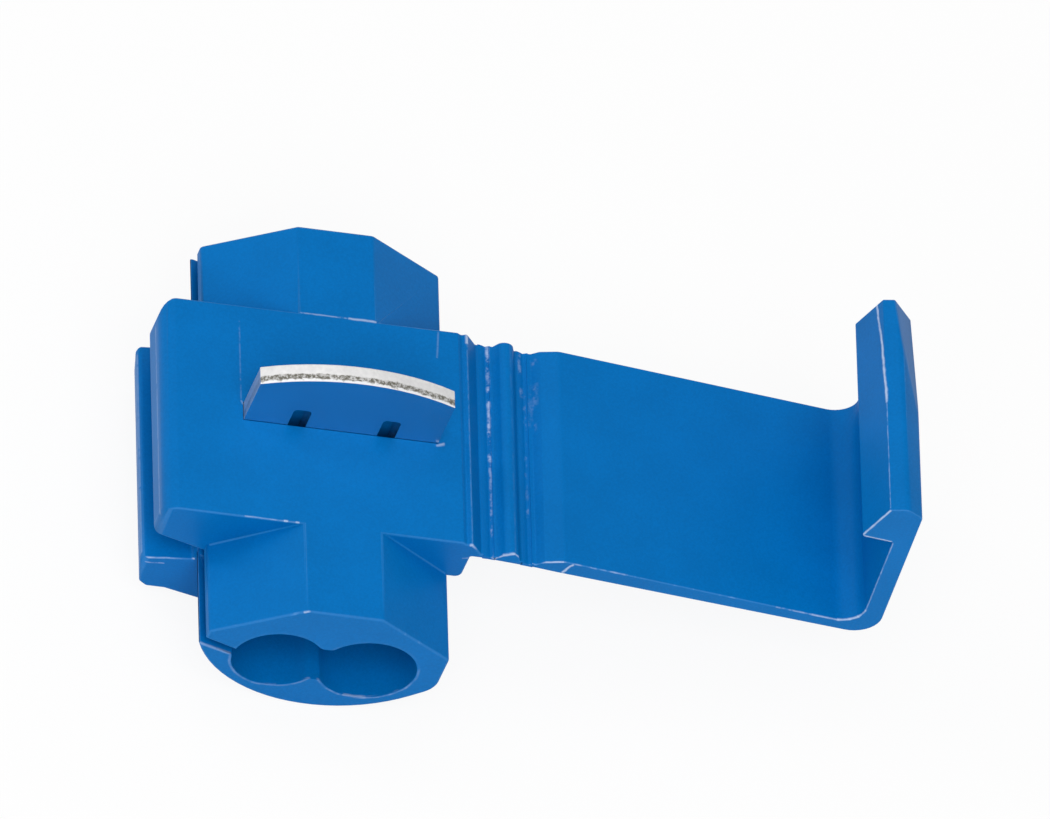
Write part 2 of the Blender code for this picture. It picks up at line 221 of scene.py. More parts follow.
# %% [markdown]
# ## Light
#
# Small products are photographed in a white tent: light comes from everywhere, a little more
# from one side. The world is that tent. It lights the part weakly, but the camera and
# mirror-like surfaces see it as plain white. The broad main lamp stands in front, halfway up, so
# that it shines into the wire ports as well as on the top. A weak one hangs overhead, and a
# narrow strip on the left draws thin bright lines along rounded edges.

# %% A white tent, two broad lamps and a strip at the left
TENT_LEVEL = 0.42
LAMPS = (
    # name, place, width, height, watts
    ("overhead", (-0.06, 0.1, 0.3), 0.22, 0.22, 0.15),
    ("front", (-0.05, -0.25, 0.33), 0.34, 0.34, 1.14),
    ("left_strip", (-0.26, 0.12, 0.14), 0.04, 0.3, 0.13),
)


def any_ray(tree, *kinds):
    """1 for rays of these kinds, as the Light Path node names them, and 0 for all others."""
    path = tree.nodes.new("ShaderNodeLightPath")
    found = path.outputs[kinds[0]]
    for kind in kinds[1:]:
        found = math_node(tree, "MAXIMUM", found, path.outputs[kind])
    return found


def make_tent():
    world = bpy.data.worlds.new("tent")
    bpy.context.scene.world = world
    world.use_nodes = True
    tree = world.node_tree
    tree.nodes.clear()
    seen = any_ray(tree, "Is Camera Ray", "Is Glossy Ray", "Is Transmission Ray")
    level = tree.nodes.new("ShaderNodeMix")
    put(level.inputs["Factor"], seen)
    put(level.inputs["A"], TENT_LEVEL)
    put(level.inputs["B"], 1.0)
    background = tree.nodes.new("ShaderNodeBackground")
    put(background.inputs["Color"], (1, 1, 1, 1))
    put(background.inputs["Strength"], level.outputs["Result"])
    output = tree.nodes.new("ShaderNodeOutputWorld")
    put(output.inputs["Surface"], background.outputs[0])


def make_lamp(name, place, width, height, watts):
    """A soft rectangle of light that faces the middle of the part."""
    data = bpy.data.lights.new(name, "AREA")
    data.shape = "RECTANGLE"
    data.size, data.size_y = width, height
    data.energy = watts
    lamp = bpy.data.objects.new(name, data)
    bpy.context.scene.collection.objects.link(lamp)
    lamp.location = place
    lamp.rotation_mode = "QUATERNION"
    lamp.rotation_quaternion = (AIM - Vector(place)).to_track_quat("-Z", "Y")


make_tent()
for lamp in LAMPS:
    make_lamp(*lamp)
bpy.context.scene.view_settings.view_transform = "Standard"

# %% [markdown]
# ## Floor
#
# The part stands on a pale sheet. The camera should see it as white, but a shadow still has to
# fall on it, or the part would seem to float. So its shader is part white paper, which takes
# the shadow, and part plain white that only the camera and mirror-like surfaces see.

# %% A pale sheet that keeps the shadow
FLOOR_RADIUS = 0.6
FLOOR_SIDES = 64
FLOOR_DROP = 0.005
FLOOR_WHITE = (0.9, 0.9, 0.9, 1)
WHITE_SHARE = 0.9


def make_paper():
    paper = bpy.data.materials.new("floor_paper")
    paper.use_nodes = True
    tree = paper.node_tree
    tree.nodes.clear()
    seen = any_ray(tree, "Is Camera Ray", "Is Glossy Ray")
    matte = tree.nodes.new("ShaderNodeBsdfDiffuse")
    put(matte.inputs["Color"], FLOOR_WHITE)
    white = tree.nodes.new("ShaderNodeEmission")
    put(white.inputs["Strength"], 1.0)
    mixed = tree.nodes.new("ShaderNodeMixShader")
    put(mixed.inputs[0], math_node(tree, "MULTIPLY", seen, WHITE_SHARE))
    put(mixed.inputs[1], matte.outputs[0])
    put(mixed.inputs[2], white.outputs[0])
    output = tree.nodes.new("ShaderNodeOutputMaterial")
    put(output.inputs["Surface"], mixed.outputs[0])
    return paper


def make_floor():
    disc = bmesh.new()
    bmesh.ops.create_circle(disc, cap_ends=True, segments=FLOOR_SIDES, radius=FLOOR_RADIUS)
    mesh = bpy.data.meshes.new("floor")
    disc.to_mesh(mesh)
    disc.free()
    mesh.materials.append(make_paper())
    floor = bpy.data.objects.new("floor", mesh)
    bpy.context.scene.collection.objects.link(floor)
    floor.location.z = cad_low.z - FLOOR_DROP * MM


make_floor()
print("floor at", round(cad_low.z / MM, 2), "mm")

# %% [markdown]
# ## Tools for fine shape
#
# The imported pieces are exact, but they are loose triangles with knife-sharp corners. A moulded
# part has none: steel is cut with a round tool, so every corner carries a small radius, and
# that radius is what catches the light. We weld a copy of the piece, join its flat triangles
# into whole faces and bevel what is still sharp. A bevel modifier would do the same, but with
# bmesh we can pick inside corners and outside corners apart and give each its own radius.

# %% Weld a copy, pick its sharp edges and round them
WELD = 0.0002 * MM
FLAT = math.radians(0.7)
SHARP = math.radians(38)


def welded_copy(node):
    skin = bmesh.new()
    skin.from_mesh(frame["nodes"][node].data)
    bmesh.ops.remove_doubles(skin, verts=skin.verts, dist=WELD)
    bmesh.ops.dissolve_limit(skin, angle_limit=FLAT, verts=skin.verts, edges=skin.edges)
    return skin


def corners(skin, sign, where=lambda point: True, least=0.0):
    """Sharp edges that turn outwards (sign 1) or inwards (sign -1), at points that pass a test."""
    found = []
    for edge in skin.edges:
        turn = sign * edge.calc_face_angle_signed(0) if len(edge.link_faces) == 2 else 0
        middle = (edge.verts[0].co + edge.verts[1].co) / 2 / MM
        if turn > SHARP and edge.calc_length() > least * MM and where(middle):
            found.append(edge)
    return found


def round_edges(skin, edges, width, steps=3):
    bmesh.ops.bevel(
        skin,
        geom=edges,
        offset=width * MM,
        offset_type="OFFSET",
        segments=steps,
        profile=0.5,
        affect="EDGES",
        material=-1,
        clamp_overlap=False,
    )


print("edges turning more than", round(math.degrees(SHARP)), "degrees get a radius")

# %% [markdown]
# ## Where an edge wears and catches the light
#
# Handling polishes and bruises the outside corners of a soft plastic first, and stretched
# plastic turns pale. A rounded corner also catches the light as a thin highlight, and the shader
# paints part of that highlight too. The shader has to know where these corners are. Each vertex
# stores how sharply the surface turns outwards there, as a value from 0 to 1. Vertices that touch
# a broad face stay at 0, so the value fades out within the narrow rounded strip.

# %% Store the outward turn at each vertex, and close a bmesh into an object
BROAD_FACE = 0.06 * MM
LEAST_TURN = math.radians(16)
FULL_TURN = math.radians(22)


def store_turns(skin):
    layer = skin.verts.layers.float.new("edge")
    broad = {
        face.index: face.calc_area() / face.calc_perimeter() > BROAD_FACE for face in skin.faces
    }
    for vert in skin.verts:
        turn = max(edge.calc_face_angle_signed(0) for edge in vert.link_edges)
        touches_broad = any(broad[face.index] for face in vert.link_faces)
        share = (turn - LEAST_TURN) / (FULL_TURN - LEAST_TURN)
        vert[layer] = 0 if touches_broad else max(0, min(1, share))


def finished(name, skin, material):
    """Turns a bmesh into an object whose flat faces shade flat and whose radii shade round."""
    bmesh.ops.dissolve_degenerate(skin, dist=WELD, edges=skin.edges)
    bmesh.ops.recalc_face_normals(skin, faces=skin.faces)
    skin.faces.index_update()
    store_turns(skin)
    mesh = bpy.data.meshes.new(name)
    skin.to_mesh(mesh)
    skin.free()
    mesh.shade_smooth()
    mesh.set_sharp_from_angle(angle=SHARP)
    mesh.materials.append(material)
    piece = bpy.data.objects.new(name, mesh)
    bpy.context.scene.collection.objects.link(piece)
    weigh = piece.modifiers.new("flat_faces_first", "WEIGHTED_NORMAL")
    weigh.mode = "FACE_AREA"
    weigh.weight = 60
    weigh.keep_sharp = True
    print(name, len(mesh.polygons), "faces")
    return piece


# %% [markdown]
# ## Grain of a moulded surface
#
# A steel mould is spark-eroded or rough-polished, and the plastic copies its texture. It shows
# as a faint mottle and a softened highlight. Two noises at different sizes give the mottle and
# the finer of them gives the relief.

# %% Group: moulded grain
BROAD_MOTTLE = 420.0
FINE_SHARE = 0.65


def make_grain():
    tree, given, result = new_group(
        "moulded_grain",
        [("Place", "Vector", None), ("Fineness", "Float", 9000.0)],
        [("Tone", "Float"), ("Height", "Float")],
    )
    fine = noise_node(tree, given["Place"], given["Fineness"], 3.0, 0.6)["Fac"]
    broad = noise_node(tree, given["Place"], BROAD_MOTTLE)["Fac"]
    fine_part = math_node(tree, "MULTIPLY", fine, FINE_SHARE)
    put(result["Tone"], math_node(tree, "MULTIPLY_ADD", broad, 1 - FINE_SHARE, fine_part))
    put(result["Height"], fine)
    return tree


grain_group = make_grain()
print(grain_group.name)

# %% [markdown]
# ## Edge wear with painted highlight
#
# The stored turn says where an outside corner is. The group pales it, which stands partly for
# wear and partly for a painted highlight where the rounded corner catches the light. Wear is never
# even, so a noise lets parts of the corner through and holds others back. Raising the amount
# widens and joins the pale parts.

# %% Group: edge wear with painted highlight
def make_wear_and_highlight():
    tree, given, result = new_group(
        "edge_wear_and_highlight",
        [("Edge", "Float", 0.0), ("Place", "Vector", None), ("Amount", "Float", 0.5)],
        [("Mask", "Float")],
    )
    patches = noise_node(tree, given["Place"], 1500.0, 4.0, 0.65)["Fac"]
    least = math_node(tree, "MULTIPLY_ADD", given["Amount"], -0.55, 0.85)
    through = remap(tree, patches, least, math_node(tree, "ADD", least, 0.18), 0.25, 1.0)
    spread = math_node(tree, "MULTIPLY", given["Edge"], through)
    put(result["Mask"], math_node(tree, "MULTIPLY", spread, given["Amount"], clamp=True))
    return tree


wear_and_highlight_group = make_wear_and_highlight()
print(wear_and_highlight_group.name)

# %% [markdown]
# ## Pale lines
#
# Folding a living hinge stretches the plastic, and it turns white along the fold. A scuff does
# the same. Some lines are painted highlights instead, along rounded edges that catch the light.
# All are lines from one point to another. The group measures how far a point is from the line,
# after a noise has shaken the point, so that the line wanders. A second noise breaks it into
# dashes.

# %% Group: pale line between two points
def make_pale_line():
    tree, given, result = new_group(
        "pale_line",
        [
            ("Place", "Vector", None),
            ("Start", "Vector", None),
            ("End", "Vector", None),
            ("Width", "Float", 0.0001),
            ("Wander", "Float", 0.00005),
            ("Breaks", "Float", 0.5),
            ("Strength", "Float", 1.0),
        ],
        [("Mask", "Float")],
    )
    place = shaken(tree, given["Place"], 2600.0, given["Wander"])
    along = vector_node(tree, "SUBTRACT", given["End"], given["Start"])
    reach = vector_node(tree, "SUBTRACT", place, given["Start"])
    dot = vector_node(tree, "DOT_PRODUCT", reach, along, "Value")
    length = vector_node(tree, "DOT_PRODUCT", along, along, "Value")
    share = math_node(tree, "DIVIDE", dot, length, clamp=True)
    foot = vector_node(tree, "SCALE", along, scale=share)
    away = vector_node(tree, "DISTANCE", reach, foot, "Value")
    near = remap(tree, away, given["Width"], 0.0)
    dashes = noise_node(tree, given["Place"], 1300.0, 3.0, 0.7)["Fac"]
    least = math_node(tree, "MULTIPLY_ADD", given["Breaks"], 0.4, 0.2)
    kept = remap(tree, dashes, least, math_node(tree, "ADD", least, 0.16))
    mask = math_node(tree, "MULTIPLY", near, kept)
    put(result["Mask"], math_node(tree, "MULTIPLY", mask, given["Strength"], clamp=True))
    return tree


pale_line_group = make_pale_line()
print(pale_line_group.name)

# %% [markdown]
# ## Painted rim highlights
#
# The rim of each port is where the mould's core pin met the mould, and it carries a small chamfer
# that catches the light. The group paints that highlight as an uneven pale ring, strongest at the
# lower side, which faces up to the lamps. The group is the pale line again, bent round: it
# measures how far a point is from a circle that faces along Y.

# %% Group: painted highlight ring round a port
def make_rim_highlight():
    tree, given, result = new_group(
        "rim_highlight",
        [
            ("Place", "Vector", None),
            ("Centre", "Vector", None),
            ("Radius", "Float", 0.002),
            ("Width", "Float", 0.0001),
            ("Wander", "Float", 0.0001),
            ("Strength", "Float", 1.0),
        ],
        [("Mask", "Float")],
    )
    place = shaken(tree, given["Place"], 1500.0, given["Wander"])
    reach = vector_node(tree, "SUBTRACT", place, given["Centre"])
    flat = vector_node(tree, "MULTIPLY", reach, (1.0, 0.0, 1.0))
    deep = vector_node(tree, "MULTIPLY", reach, (0.0, 1.0, 0.0))
    from_centre = vector_node(tree, "LENGTH", flat, None, "Value")
    off_circle = math_node(tree, "SUBTRACT", from_centre, given["Radius"])
    off_face = vector_node(tree, "LENGTH", deep, None, "Value")
    squares = math_node(
        tree,
        "ADD",
        math_node(tree, "MULTIPLY", off_circle, off_circle),
        math_node(tree, "MULTIPLY", off_face, off_face),
    )
    near = remap(tree, math_node(tree, "SQRT", squares), given["Width"], 0.0)
    patches = noise_node(tree, given["Place"], 1300.0, 3.0, 0.6)["Fac"]
    kept = remap(tree, patches, 0.38, 0.58, 0.2, 1.0)
    split = tree.nodes.new("ShaderNodeSeparateXYZ")
    put(split.inputs[0], reach)
    height = math_node(tree, "DIVIDE", split.outputs["Z"], given["Radius"])
    # the painted highlight is strongest on the lower rim, which faces up to the lamps
    low = remap(tree, height, 0.5, -0.3, 0.12, 1.0)
    mask = math_node(tree, "MULTIPLY", near, math_node(tree, "MULTIPLY", kept, low))
    put(result["Mask"], math_node(tree, "MULTIPLY", mask, given["Strength"], clamp=True))
    return tree


rim_highlight_group = make_rim_highlight()
print(rim_highlight_group.name)

# %% [markdown]
# ## Blue plastic
#
# The real part is polypropylene coloured through, the usual plastic for a living hinge. It is
# satin, so its highlights are broad and weak. Every blue piece uses this one recipe. What
# differs is how strongly its edges are paled by wear and painted highlight, and which pale
# lines cross it: stress whitening, scuffs and painted highlights along edges and rims.

# %% A recipe for the plastic and its pale lines
BLUE = (0.0, 0.152, 0.468, 1)
# pale edge colour: partly wear, partly a painted highlight on rounded edges
WEAR_AND_HIGHLIGHT_BLUE = (0.2, 0.42, 0.78, 1)
# colour of the pale lines and rings: stress whitening and scuffs, and also painted highlights
WHITENING_AND_HIGHLIGHT = (0.55, 0.66, 0.86, 1)
SATIN, MARKED_ROUGHNESS = 0.42, 0.6
SHEEN_LEVEL = 0.06
GRAIN_DEPTH = 0.002 * MM
GRAIN_STRENGTH = 0.5
RIM_WIDTH = 0.09
RIM_WANDER = 0.12


def make_plastic(name, wear_and_highlight_amount, lines, rings=()):
    """Lines are (start, end, width, wander, breaks, strength), rings (centre, radius, strength)."""
    made = bpy.data.materials.new(name)
    made.use_nodes = True
    tree = made.node_tree
    shader = tree.nodes["Principled BSDF"]
    place = tree.nodes.new("ShaderNodeTexCoord").outputs["Object"]
    edge = tree.nodes.new("ShaderNodeAttribute")
    edge.attribute_name = "edge"
    grain = use_group(tree, grain_group, Place=place)
    wear_and_highlight_mask = use_group(tree, wear_and_highlight_group, Edge=edge.outputs["Fac"], Place=place, Amount=wear_and_highlight_amount)["Mask"]
    pale = 0.0
    for start, end, width, wander, breaks, strength in lines:
        line = use_group(
            tree,
            pale_line_group,
            Place=place,
            Start=Vector(start) * MM,
            End=Vector(end) * MM,
            Width=width * MM,
            Wander=wander * MM,
            Breaks=breaks,
            Strength=strength,
        )["Mask"]
        pale = math_node(tree, "MAXIMUM", line, pale)
    for centre, radius, strength in rings:
        ring = use_group(
            tree,
            rim_highlight_group,
            Place=place,
            Centre=Vector(centre) * MM,
            Radius=radius * MM,
            Width=RIM_WIDTH * MM,
            Wander=RIM_WANDER * MM,
            Strength=strength,
        )["Mask"]
        pale = math_node(tree, "MAXIMUM", ring, pale)
    tone = remap(tree, grain["Tone"], 0.3, 0.7, 0.92, 1.07)
    colour = blend_colours(tree, 1.0, BLUE, tone, "MULTIPLY")
    # edges paled by wear and by a painted highlight
    colour = blend_colours(tree, wear_and_highlight_mask, colour, WEAR_AND_HIGHLIGHT_BLUE)
    # stress whitening, scuffs, and painted highlight lines and rim rings
    colour = blend_colours(tree, pale, colour, WHITENING_AND_HIGHLIGHT)
    put(shader.inputs["Base Color"], colour)
    pale_marks_and_highlights = math_node(tree, "MAXIMUM", wear_and_highlight_mask, pale)
    put(shader.inputs["Roughness"], remap(tree, pale_marks_and_highlights, 0.0, 1.0, SATIN, MARKED_ROUGHNESS))
    bump = tree.nodes.new("ShaderNodeBump")
    put(bump.inputs["Strength"], GRAIN_STRENGTH)
    put(bump.inputs["Distance"], GRAIN_DEPTH)
    put(bump.inputs["Height"], grain["Height"])
    put(shader.inputs["Normal"], bump.outputs["Normal"])
    put(shader.inputs["Specular IOR Level"], SHEEN_LEVEL)
    return made


print("plastic recipe ready")

# %% [markdown]
# ## Housing
#
# The housing carries both wires. On the real part the wires lie in its two ports, and its
# stubs keep fingers away from the metal. Its outside corners get a small radius. The inside
# corners where the stubs meet the block get a larger one, as a mould is stronger that way and
# the plastic flows better. The pale lines below are its scuffs and the witness lines that a
# mould insert leaves, and painted highlights along the lips' left edges and under the second
# port. The rings are painted highlights round the port rims.

# %% Housing with its radii
housing_lines = [
    # the block's right edge, its two corners and the slope down to the hinge
    ((5.8, -5.4, 7.25), (5.8, 5.4, 7.25), 0.05, 0.05, 0.45, 0.12),
    ((5.8, 5.0, 7.25), (5.8, 5.5, 7.25), 0.12, 0.05, 0.0, 0.8),
    ((5.75, -5.47, 7.2), (5.83, -5.47, 7.24), 0.13, 0.05, 0.0, 0.9),
    ((5.8, -5.47, 7.2), (6.45, -5.47, 6.7), 0.12, 0.05, 0.1, 0.7),
    ((5.65, -5.47, 6.13), (5.85, -5.47, 6.2), 0.09, 0.12, 0.1, 0.5),
    # the two ends of the blade's pocket, and two witness lines behind it
    ((-4.36, 0.35, 7.3), (-4.45, 0.5, 7.3), 0.07, 0.1, 0.3, 0.25),
    ((4.35, -0.57, 7.3), (4.6, -0.47, 7.3), 0.1, 0.16, 0.3, 0.5),
    ((-4.45, 0.6, 7.3), (-4.45, 4.6, 7.3), 0.06, 0.03, 0.55, 0.1),
    ((4.42, 4.0, 7.3), (4.5, 5.3, 7.3), 0.07, 0.03, 0.4, 0.15),
    # the block's back edge, then its front edge with two scuffs
    ((-2.7, 5.45, 7.3), (4.8, 5.45, 7.3), 0.06, 0.06, 0.5, 0.4),
    ((0.5, 5.45, 7.3), (1.7, 5.45, 7.3), 0.09, 0.08, 0.1, 0.6),
    ((-4.4, -5.42, 7.3), (-2.0, -5.44, 7.3), 0.06, 0.05, 0.35, 0.5),
    ((-2.62, -5.42, 7.3), (-2.5, -5.42, 7.3), 0.08, 0.04, 0.0, 0.9),
    ((-2.1, -5.42, 7.3), (-2.0, -5.42, 7.3), 0.08, 0.04, 0.0, 0.8),
    # the front stub: the end of its ridge, its slit's lower jaw, and a painted highlight on the
    # second port's lower rim
    ((-1.8, -9.93, 7.2), (-1.6, -9.93, 7.3), 0.09, 0.08, 0.0, 0.7),
    ((-5.66, -9.93, 3.86), (-4.12, -9.93, 3.28), 0.13, 0.04, 0.0, 0.5),
    ((-5.68, -9.9, 3.86), (-5.68, -5.6, 3.86), 0.12, 0.04, 0.1, 0.45),
    ((1.5, -9.93, 1.13), (2.5, -9.93, 1.13), 0.1, 0.06, 0.1, 0.45),
    # the upper and lower lips; the first two lines are painted highlights along their rounded left
    # edges
    ((-7.93, -5.1, 6.3), (-7.93, 4.4, 6.3), 0.16, 0.12, 0.3, 0.22),
    ((-7.97, -5.1, 3.05), (-7.97, 5.0, 3.05), 0.12, 0.04, 0.2, 0.3),
    ((-7.8, -5.44, 3.15), (-5.7, -5.44, 3.5), 0.07, 0.05, 0.1, 0.7),
    ((-7.7, -5.45, 2.8), (-6.9, -5.45, 2.9), 0.07, 0.05, 0.3, 0.4),
]
# painted highlights round the port rims
housing_rings = [
    ((-2, -9.92, 3.3), 2.1, 0.22),
    ((2, -9.92, 3.3), 2.25, 0.34),
    ((-2, 9.92, 3.3), 2.1, 0.22),
]
housing_blue = make_plastic("housing_blue", 0.44, housing_lines, housing_rings)
BLOCK_FRONT = 5.45
ON_FACE = 0.02
HINGE_SIDE = 6.5
POCKET_HALF = Vector((4.42, 0.52))
POCKET_INSET = 0.05
POCKET_MARGIN = 0.08
WAIST_RADIUS = 0.2
ROOT_RADIUS = 0.14
HOUSING_RADIUS = 0.045


def stub_root(point):
    """True on the loop where a stub leaves the block's front or back face."""
    return abs(abs(point.y) - BLOCK_FRONT) < ON_FACE


def port_waist(point):
    """True on the long edges where the two ports run into each other."""
    return abs(point.x) < 0.6 and 2 < point.z < 4.6 and abs(point.y) < 9


def plain_outside(point):
    """True away from the web, which grows out of a square end, and from the pocket's mouth."""
    at_pocket = (
        abs(point.x) < POCKET_HALF.x + POCKET_MARGIN
        and abs(point.y) < POCKET_HALF.y + POCKET_MARGIN
    )
    return point.x < HINGE_SIDE and not at_pocket


def close_pocket(skin):
    """Draws the pocket's walls in until they all but touch the blade, as hot plastic does."""
    near = WELD / MM
    for vert in skin.verts:
        x, y = abs(vert.co.x) / MM, abs(vert.co.y) / MM
        if x < POCKET_HALF.x + near and y < POCKET_HALF.y + near:
            if x > POCKET_HALF.x - near:
                vert.co.x = math.copysign((x - POCKET_INSET) * MM, vert.co.x)
            if y > POCKET_HALF.y - near:
                vert.co.y = math.copysign((y - POCKET_INSET) * MM, vert.co.y)


skin = welded_copy("housing")
close_pocket(skin)
waist = corners(skin, 1, port_waist, least=4)
round_edges(skin, waist, WAIST_RADIUS, steps=4)
roots = corners(skin, -1, stub_root, least=0.5)
round_edges(skin, roots, ROOT_RADIUS, steps=4)
outside = corners(skin, 1, plain_outside, least=0.3)
round_edges(skin, outside, HOUSING_RADIUS)
print(len(waist), len(roots), len(outside), "waist, inside and outside edges rounded")
housing = finished("housing_skin", skin, housing_blue)
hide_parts("housing")
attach(housing, "housing")

# %% [markdown]
# ## Hinge link
#
# Between the two webs runs a stiff strap with one ridge. It lets the cover swing up and over
# the blade in two steps. It has been folded at the factory, so its edges are pale.

# %% Link between the two webs
hinge_lines = [
    # along the inner web, the ridge and the outer web
    ((6.92, -0.5, 6.45), (6.94, 5.4, 6.45), 0.13, 0.2, 0.5, 0.7),
    ((6.9, -5.4, 6.45), (6.92, -0.5, 6.45), 0.09, 0.14, 0.6, 0.4),
    ((7.85, -5.4, 6.98), (7.87, 5.4, 6.98), 0.1, 0.06, 0.5, 0.12),
    ((8.57, -3.0, 6.33), (8.6, 3.2, 6.33), 0.09, 0.12, 0.5, 0.7),
    ((8.5, 3.2, 6.33), (8.4, 5.4, 6.4), 0.17, 0.2, 0.75, 0.35),
    # the front edge, from the housing over the ridge to the cover
    ((6.45, -5.47, 6.7), (6.99, -5.47, 6.38), 0.07, 0.05, 0.1, 0.7),
    ((6.99, -5.47, 6.38), (7.35, -5.47, 6.73), 0.08, 0.05, 0.1, 0.8),
    ((7.35, -5.47, 6.75), (7.8, -5.47, 6.98), 0.13, 0.06, 0.0, 0.9),
    ((7.8, -5.47, 6.95), (8.6, -5.47, 6.3), 0.08, 0.05, 0.1, 0.75),
]
hinge_blue = make_plastic("hinge_blue", 0.45, hinge_lines)
SIDE = 5.4
LINK_RADIUS = 0.04


def at_side(point):
    """True at the front and back ends of the folds, where the strap's profile shows."""
    return abs(point.y) > SIDE


skin = welded_copy("hinge_link")
round_edges(skin, corners(skin, 1, at_side), LINK_RADIUS)
link = finished("hinge_link_skin", skin, hinge_blue)
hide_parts("hinge_link")
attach(link, "link")

# %% [markdown]
# ## Living hinges
#
# Each web is a strip of the same plastic, thinned to a groove so that it folds there and
# nowhere else. On the real part it is one with its neighbours. In this model the moving pieces
# stop short of it, so the strip is a piece of its own, drawn bent to the droops on either side.
# Its section is a loop of points, thinnest in the middle, that is extruded along the fold.

# %% Two bending strips, grooved on top
WEB_HALF_THICKNESS = 0.123
GROOVE_DEPTH = 0.13
GROOVE_SHIFT = 0.25
WEB_STEPS = 12
WEB_OVERLAP = 0.08
WEB_GAP = 0.2


def make_web(name, axis, before, after):
    """A strip through an axis; before and after are its droops in degrees on either side."""
    turns = [math.radians(droop) for droop in (before, after)]
    reach = (WEB_GAP + WEB_OVERLAP) * MM
    top, bottom = [], []
    for step in range(WEB_STEPS + 1):
        share = step / WEB_STEPS * 2 - 1
        turn = turns[0] if share < 0 else turns[1]
        middle = Vector((math.cos(turn), 0, -math.sin(turn))) * reach * share
        off_middle = min(1, abs(share - GROOVE_SHIFT * (1 - share * share)))
        dip = GROOVE_DEPTH * (1 - off_middle) ** 1.3
        top.append(axis + middle + Vector((0, 0, (WEB_HALF_THICKNESS - dip) * MM)))
        bottom.append(axis + middle - Vector((0, 0, WEB_HALF_THICKNESS * MM)))
    strip = bmesh.new()
    front = Vector((0, -BLOCK_FRONT * MM, 0))
    loop = [strip.verts.new(point + front) for point in top + bottom[::-1]]
    cap = strip.faces.new(loop)
    grown = bmesh.ops.extrude_face_region(strip, geom=[cap])["geom"]
    moved = [part for part in grown if isinstance(part, bmesh.types.BMVert)]
    bmesh.ops.translate(strip, verts=moved, vec=(0, 2 * BLOCK_FRONT * MM, 0))
    web = finished(name, strip, hinge_blue)
    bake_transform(web)


LINK_DROOP = 5.9
COVER_DROOP = 8.5
make_web("inner_web", inner_axis, 0, LINK_DROOP)
make_web("outer_web", outer_axis, LINK_DROOP, COVER_DROOP)

# %% [markdown]
# ## Cover
#
# The cover swings over and its hook snaps under the lower lip, which keeps the blade down on
# both wires. The hook was pushed out of its mould while warm, so its barb carries a long white
# scuff. Places on the cover are easiest to give along the plate, across it and above it.

# %% Cover with its hook
WEB_REACH = 0.35
COVER_RADIUS = 0.06


def on_cover(along, across, above):
    """A place given along the plate from the outer web, as a place in the model, in mm."""
    droop = math.radians(COVER_DROOP)
    turned = Vector(
        (
            along * math.cos(droop) + above * math.sin(droop),
            across,
            above * math.cos(droop) - along * math.sin(droop),
        )
    )
    return outer_axis / MM + turned


def clear_of_webs(point):
    """False at the end that the outer web grows out of, which stays square and shows no seam."""
    return at_side(point) or (point - outer_axis / MM).length > WEB_REACH


cover_marks = [
    # the long scuff on the barb
    ((12.93, -5.3, 9.7), (12.93, 0.2, 9.7), 0.06, 0.06, 0.25, 0.6),
    ((12.93, 0.2, 9.7), (12.9, 3.2, 9.5), 0.13, 0.14, 0.0, 1.0),
    ((12.9, 3.2, 9.5), (12.83, 5.4, 9.2), 0.12, 0.14, 0.1, 1.0),
    # the hook's front side: down the barb, under it and down the wall
    ((12.95, -5.45, 9.65), (12.62, -5.45, 7.45), 0.09, 0.08, 0.15, 0.8),
    ((12.62, -5.45, 7.38), (13.95, -5.45, 7.38), 0.13, 0.05, 0.0, 1.0),
    ((14.11, -5.45, 7.27), (15.2, -5.45, 1.9), 0.07, 0.06, 0.35, 0.45),
    # round the corner at the wall's foot and along the plate's front edge
    ((15.2, -5.45, 1.9), (15.1, -5.45, 1.33), 0.1, 0.06, 0.1, 0.8),
    ((15.1, -5.45, 1.33), (14.85, -5.45, 1.02), 0.12, 0.06, 0.0, 0.9),
    ((14.85, -5.45, 1.02), (14.4, -5.45, 0.8), 0.12, 0.06, 0.0, 0.9),
    ((14.4, -5.45, 0.8), (13.2, -5.45, 0.77), 0.09, 0.06, 0.15, 0.7),
    ((13.2, -5.45, 0.77), (11.5, -5.45, 0.77), 0.07, 0.06, 0.4, 0.5),
    # the plate's front edge at the hinge, then a broad scuff beside the fold
    ((1.85, -5.45, 0.7), (1.7, -5.45, 0.0), 0.1, 0.14, 0.15, 0.8),
    ((0.2, -5.45, 0.12), (0.7, -5.45, 0.45), 0.07, 0.05, 0.2, 0.7),
    ((0.7, -5.45, 0.45), (1.4, -5.45, 0.75), 0.08, 0.05, 0.15, 0.8),
    ((1.5, -5.45, 0.77), (4.8, -5.45, 0.77), 0.07, 0.06, 0.55, 0.45),
    ((0.3, 1.5, 0.3), (0.45, 5.2, 0.4), 0.3, 0.3, 0.75, 0.3),
]
cover_lines = [(on_cover(*start), on_cover(*end), *looks) for start, end, *looks in cover_marks]
cover_blue = make_plastic("cover_blue", 0.55, cover_lines)
skin = welded_copy("latch_cover")
round_edges(skin, corners(skin, 1, clear_of_webs), COVER_RADIUS)
cover = finished("latch_cover_skin", skin, cover_blue)
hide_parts("latch_cover")
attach(cover, "cover")

# %% [markdown]
# ## Sheared metal
#
# The blade is stamped from tinned strip. A punch first burnishes the metal, then the rest tears
# away. So a stamped edge has a smooth bright band, a rough grey tear, and a thin burr. The
# group finds these bands from the place across the strip's thickness, shaken by a noise.

# %% Group: bands of a stamped edge
BLADE_HALF_THICKNESS = 0.45
# Where a band is at none and at full, as shares of the thickness from the front face
TEAR_BEGINS = (0.03, 0.1)
TEAR_FADES = (0.5, 0.36)
BURR_FADES = (0.06, 0.02)


